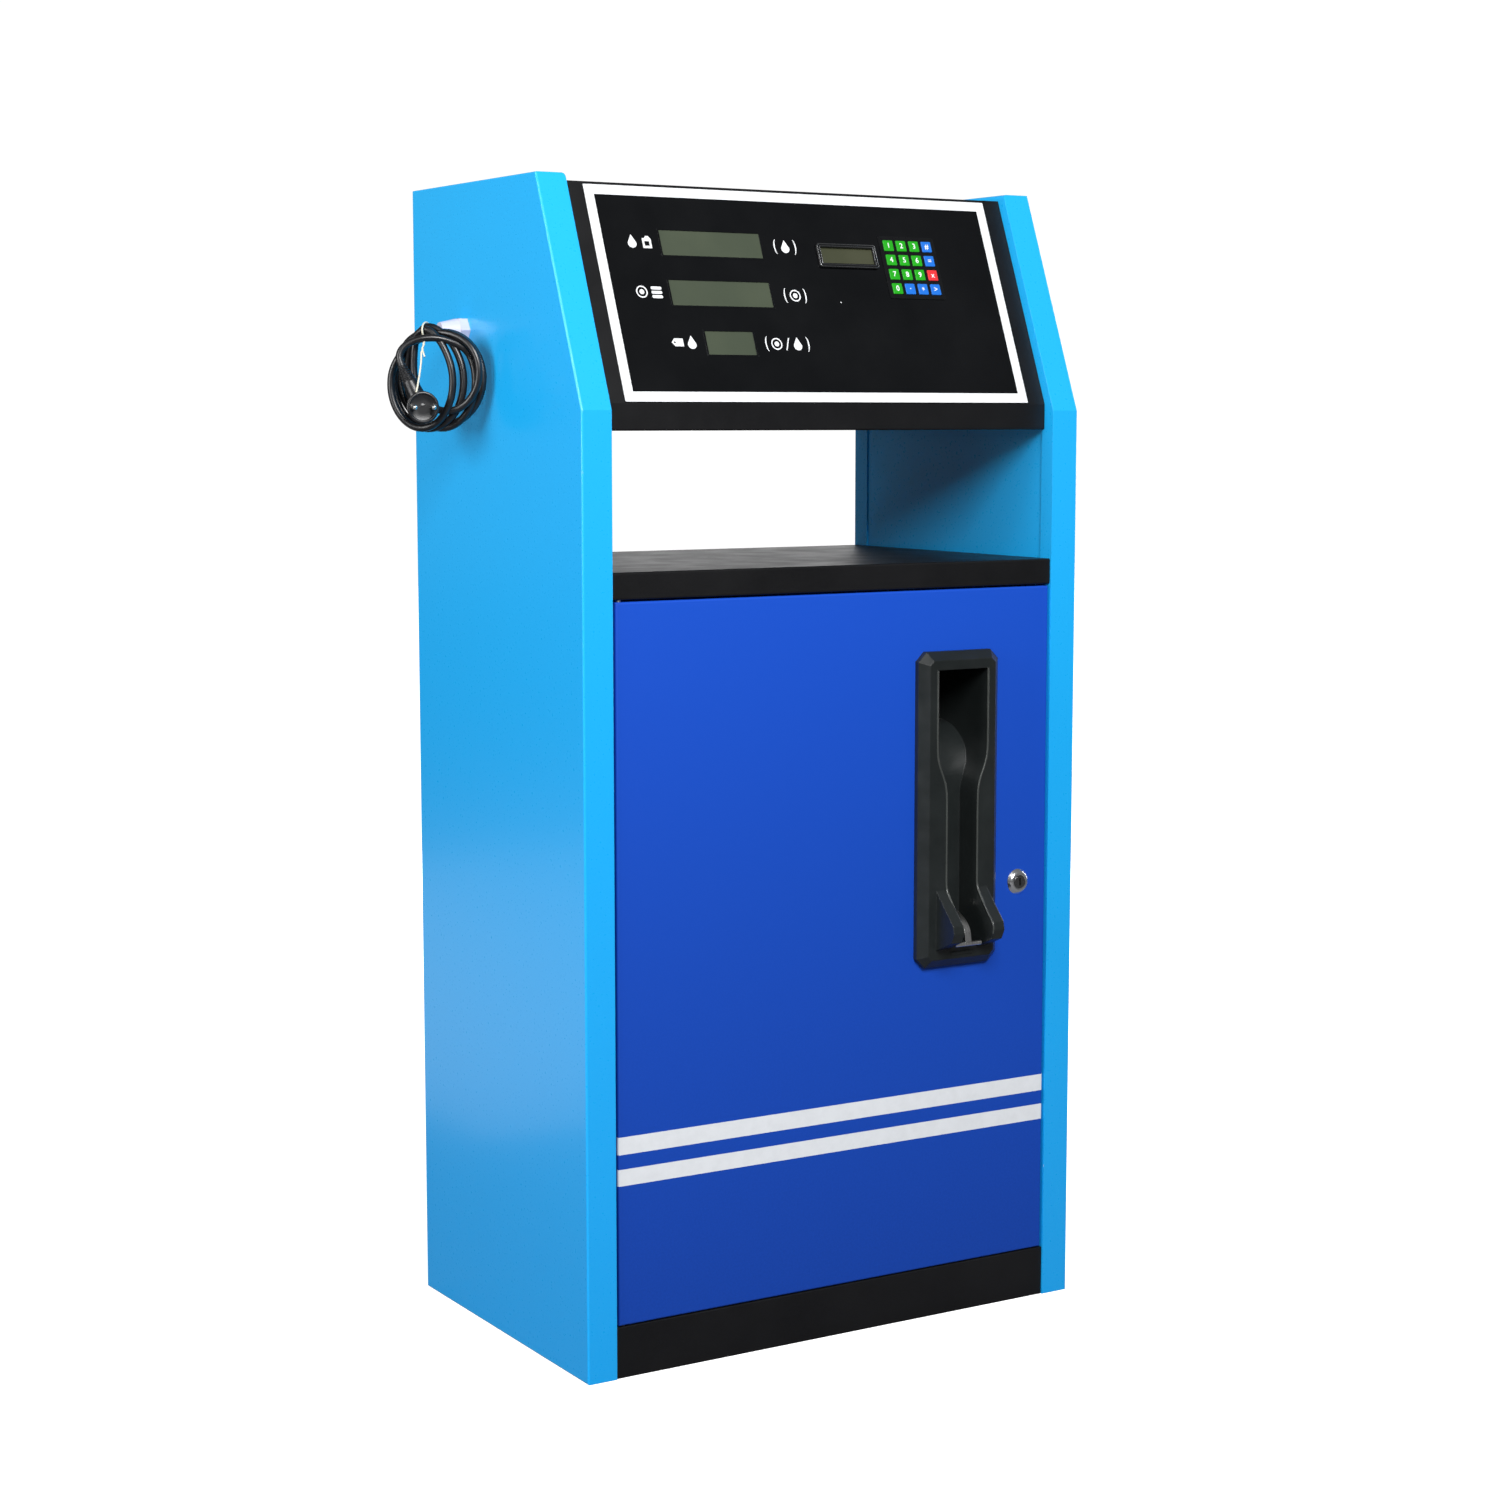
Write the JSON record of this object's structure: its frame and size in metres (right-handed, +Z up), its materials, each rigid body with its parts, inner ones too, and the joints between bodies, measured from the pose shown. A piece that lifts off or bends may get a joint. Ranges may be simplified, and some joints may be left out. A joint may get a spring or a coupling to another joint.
{
  "type": "fuel dispenser",
  "caption": "Free-standing diesel dispenser cabinet with sloping display head, keypad, open bay and lockable door with a nozzle boot.",
  "frame": {"origin": "middle of the footprint, on the floor", "axes": "+X to the user's right, +Y to the rear, +Z up"},
  "size_m": [0.6909, 0.4558, 1.2],
  "materials": {
    "cyan_paint": "gloss",
    "royal_paint": "satin",
    "black_texture": "fine texture",
    "fascia_gloss": "gloss",
    "lcd_glass": "satin",
    "bezel_grey": "satin",
    "circuit_board": "satin",
    "keypad_film": "satin",
    "key_green": "satin",
    "key_blue": "satin",
    "key_red": "satin",
    "black_plastic": "fine grain",
    "hook_steel": "brushed",
    "zinc_steel": "zinc plated",
    "switch_plastic": "matte",
    "chrome_lock": "polished",
    "motor_paint": "satin",
    "cast_iron": "as cast",
    "belt_rubber": "matte",
    "cast_aluminium": "as cast",
    "brass_fitting": "machined",
    "gland_plastic": "satin",
    "cord_rubber": "satin",
    "tie_paper": "matte"
  },
  "bodies": {
    "root": {"base_plate": "black_texture", "bay_liner_left": "cyan_paint", "bay_liner_right": "cyan_paint", "case_screws": "zinc_steel", "cord_coil": "cord_rubber", "cord_tie": "tie_paper", "delivery_pipe": "zinc_steel", "display_board": "circuit_board", "display_fascia": "fascia_gloss", "door_pivot_brackets": "zinc_steel", "drive_belt": "belt_rubber", "flow_meter": "cast_aluminium", "head_rear_cover": "cyan_paint", "head_shell": "black_texture", "junction_box": "switch_plastic", "keypad_frame": "keypad_film", "kick_plate": "black_texture", "lcd_pair": "lcd_glass", "lcd_price": "lcd_glass", "mains_plug": "cord_rubber", "outlet_valve": "brass_fitting", "power_cord": "cord_rubber", "power_gland": "gland_plastic", "preset_bezel": "bezel_grey", "preset_lcd": "lcd_glass", "pump_cover": "cast_iron", "pump_housing": "cast_iron", "pump_motor": "motor_paint", "rear_panel": "cyan_paint", "shelf_top": "black_texture", "side_panel_left": "cyan_paint", "side_panel_right": "cyan_paint", "suction_pipe": "zinc_steel"},
    "door": {"door_panel": "royal_paint", "door_pivot_pins": "zinc_steel", "nozzle_boot": "black_plastic", "hook_switch": "switch_plastic", "lock_body": "chrome_lock"},
    "hook": {"nozzle_hook": "hook_steel"},
    "lock": {"lock_rotor": "chrome_lock", "lock_cam": "zinc_steel"},
    "motor_shaft": {"motor_rotor": "zinc_steel"},
    "pump_shaft": {"pump_rotor": "zinc_steel"},
    "encoder": {"meter_encoder": "zinc_steel"},
    "key_1_cap": {"key_1": "key_green"},
    "key_2_cap": {"key_2": "key_green"},
    "key_3_cap": {"key_3": "key_green"},
    "key_price_cap": {"key_price": "key_blue"},
    "key_4_cap": {"key_4": "key_green"},
    "key_5_cap": {"key_5": "key_green"},
    "key_6_cap": {"key_6": "key_green"},
    "key_total_cap": {"key_total": "key_blue"},
    "key_7_cap": {"key_7": "key_green"},
    "key_8_cap": {"key_8": "key_green"},
    "key_9_cap": {"key_9": "key_green"},
    "key_clear_cap": {"key_clear": "key_red"},
    "key_0_cap": {"key_0": "key_green"},
    "key_point_cap": {"key_point": "key_blue"},
    "key_preset_cap": {"key_preset": "key_blue"},
    "key_enter_cap": {"key_enter": "key_blue"}
  },
  "joints": [
    {"name": "door_swing", "type": "hinge", "parent": "root", "child": "door", "pos_m": [-0.257, -0.182, 0.4], "axis": [0, 0, -1], "range_deg": [0, 105]},
    {"name": "hook_tilt", "type": "hinge", "parent": "door", "child": "hook", "pos_m": [0.1435, -0.162, 0.441], "axis": [1, 0, 0], "range_deg": [0, 12], "stiffness_Nm_per_rad": 0.5, "springref_deg": -14.32},
    {"name": "lock_turn", "type": "hinge", "parent": "door", "child": "lock", "pos_m": [0.2284, -0.18, 0.4643], "axis": [0, 1, 0], "range_deg": [0, 90]},
    {"name": "motor_turn", "type": "hinge", "parent": "root", "child": "motor_shaft", "pos_m": [-0.1, 0.105, 0.1], "axis": [1, 0, 0], "continuous": true},
    {"name": "pump_turn", "type": "hinge", "parent": "root", "child": "pump_shaft", "pos_m": [-0.1, -0.07, 0.1], "axis": [1, 0, 0], "continuous": true},
    {"name": "encoder_turn", "type": "hinge", "parent": "root", "child": "encoder", "pos_m": [-0.06, -0.07, 0.54], "axis": [0, 0, 1], "continuous": true},
    {"name": "key_1_press", "type": "slide", "parent": "root", "child": "key_1_cap", "axis": [0, 0.9282, -0.3721], "range_m": [0, 0.0005], "stiffness_N_per_m": 600, "springref_m": -0.001},
    {"name": "key_2_press", "type": "slide", "parent": "root", "child": "key_2_cap", "axis": [0, 0.9282, -0.3721], "range_m": [0, 0.0005], "stiffness_N_per_m": 600, "springref_m": -0.001},
    {"name": "key_3_press", "type": "slide", "parent": "root", "child": "key_3_cap", "axis": [0, 0.9282, -0.3721], "range_m": [0, 0.0005], "stiffness_N_per_m": 600, "springref_m": -0.001},
    {"name": "key_price_press", "type": "slide", "parent": "root", "child": "key_price_cap", "axis": [0, 0.9282, -0.3721], "range_m": [0, 0.0005], "stiffness_N_per_m": 600, "springref_m": -0.001},
    {"name": "key_4_press", "type": "slide", "parent": "root", "child": "key_4_cap", "axis": [0, 0.9282, -0.3721], "range_m": [0, 0.0005], "stiffness_N_per_m": 600, "springref_m": -0.001},
    {"name": "key_5_press", "type": "slide", "parent": "root", "child": "key_5_cap", "axis": [0, 0.9282, -0.3721], "range_m": [0, 0.0005], "stiffness_N_per_m": 600, "springref_m": -0.001},
    {"name": "key_6_press", "type": "slide", "parent": "root", "child": "key_6_cap", "axis": [0, 0.9282, -0.3721], "range_m": [0, 0.0005], "stiffness_N_per_m": 600, "springref_m": -0.001},
    {"name": "key_total_press", "type": "slide", "parent": "root", "child": "key_total_cap", "axis": [0, 0.9282, -0.3721], "range_m": [0, 0.0005], "stiffness_N_per_m": 600, "springref_m": -0.001},
    {"name": "key_7_press", "type": "slide", "parent": "root", "child": "key_7_cap", "axis": [0, 0.9282, -0.3721], "range_m": [0, 0.0005], "stiffness_N_per_m": 600, "springref_m": -0.001},
    {"name": "key_8_press", "type": "slide", "parent": "root", "child": "key_8_cap", "axis": [0, 0.9282, -0.3721], "range_m": [0, 0.0005], "stiffness_N_per_m": 600, "springref_m": -0.001},
    {"name": "key_9_press", "type": "slide", "parent": "root", "child": "key_9_cap", "axis": [0, 0.9282, -0.3721], "range_m": [0, 0.0005], "stiffness_N_per_m": 600, "springref_m": -0.001},
    {"name": "key_clear_press", "type": "slide", "parent": "root", "child": "key_clear_cap", "axis": [0, 0.9282, -0.3721], "range_m": [0, 0.0005], "stiffness_N_per_m": 600, "springref_m": -0.001},
    {"name": "key_0_press", "type": "slide", "parent": "root", "child": "key_0_cap", "axis": [0, 0.9282, -0.3721], "range_m": [0, 0.0005], "stiffness_N_per_m": 600, "springref_m": -0.001},
    {"name": "key_point_press", "type": "slide", "parent": "root", "child": "key_point_cap", "axis": [0, 0.9282, -0.3721], "range_m": [0, 0.0005], "stiffness_N_per_m": 600, "springref_m": -0.001},
    {"name": "key_preset_press", "type": "slide", "parent": "root", "child": "key_preset_cap", "axis": [0, 0.9282, -0.3721], "range_m": [0, 0.0005], "stiffness_N_per_m": 600, "springref_m": -0.001},
    {"name": "key_enter_press", "type": "slide", "parent": "root", "child": "key_enter_cap", "axis": [0, 0.9282, -0.3721], "range_m": [0, 0.0005], "stiffness_N_per_m": 600, "springref_m": -0.001}
  ],
  "couplings": [
    {"joint": "pump_turn", "follows": "motor_turn", "ratio": 0.5}
  ]
}
